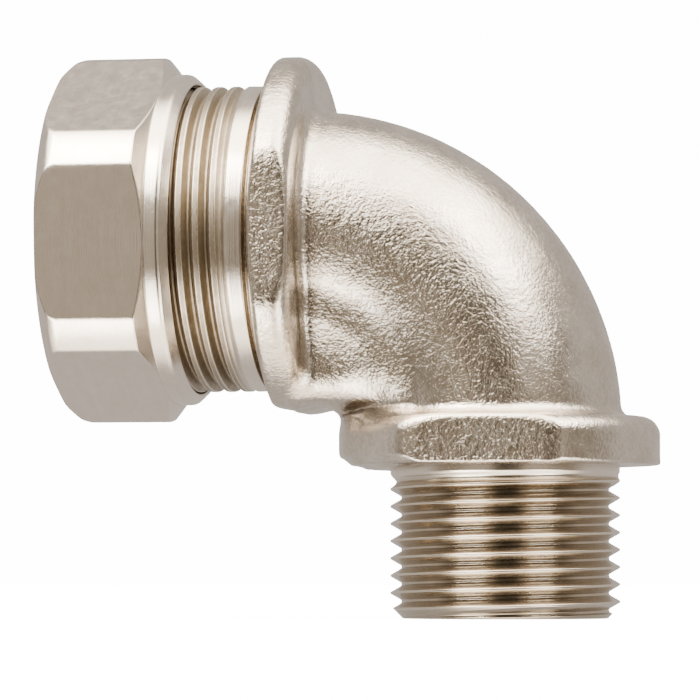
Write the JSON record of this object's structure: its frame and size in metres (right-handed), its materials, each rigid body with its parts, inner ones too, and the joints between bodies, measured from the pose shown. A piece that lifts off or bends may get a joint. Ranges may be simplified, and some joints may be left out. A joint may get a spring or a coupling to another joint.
{
  "type": "compression fitting",
  "caption": "90 degree elbow compression fitting in nickel-plated brass: hexagon compression nut on one end, male entry thread on the other.",
  "frame": {"origin": "on the entry thread's axis, in the plane of the sealing face under the entry flange", "axes": "-Z along the entry thread towards its free end; -X along the nut's axis, towards the side that the conduit enters; +Y away from the front"},
  "size_m": [0.0521, 0.0304, 0.0494],
  "materials": {
    "cast_nickel": "nickel-plated sand-cast brass, with turned threads and faces",
    "turned_nickel": "nickel-plated brass turned from hexagon bar, satin",
    "bright_brass": "turned brass, bright",
    "nylon": "natural nylon"
  },
  "bodies": {
    "elbow": {"elbow_body": "cast_nickel"},
    "ring_pack": {"thrust_washer": "bright_brass", "sealing_ring": "nylon"},
    "nut": {"compression_nut": "turned_nickel"},
    "ferrule": {"conduit_ferrule": "bright_brass"}
  },
  "joints": [
    {"name": "nut_travel", "type": "slide", "parent": "elbow", "child": "ring_pack", "axis": [1, 0, 0], "range_m": [-0.0045, 0.0015]},
    {"name": "nut_turn", "type": "hinge", "parent": "ring_pack", "child": "nut", "pos_m": [-0.0335, 0, 0.02005], "axis": [1, 0, 0], "range_deg": [-1080, 360]},
    {"name": "ferrule_slide", "type": "slide", "parent": "elbow", "child": "ferrule", "axis": [-1, 0, 0], "range_m": [0, 0.022]}
  ],
  "couplings": [
    {"joint": "nut_turn", "follows": "nut_travel", "rad_per_m": 4188.8}
  ]
}
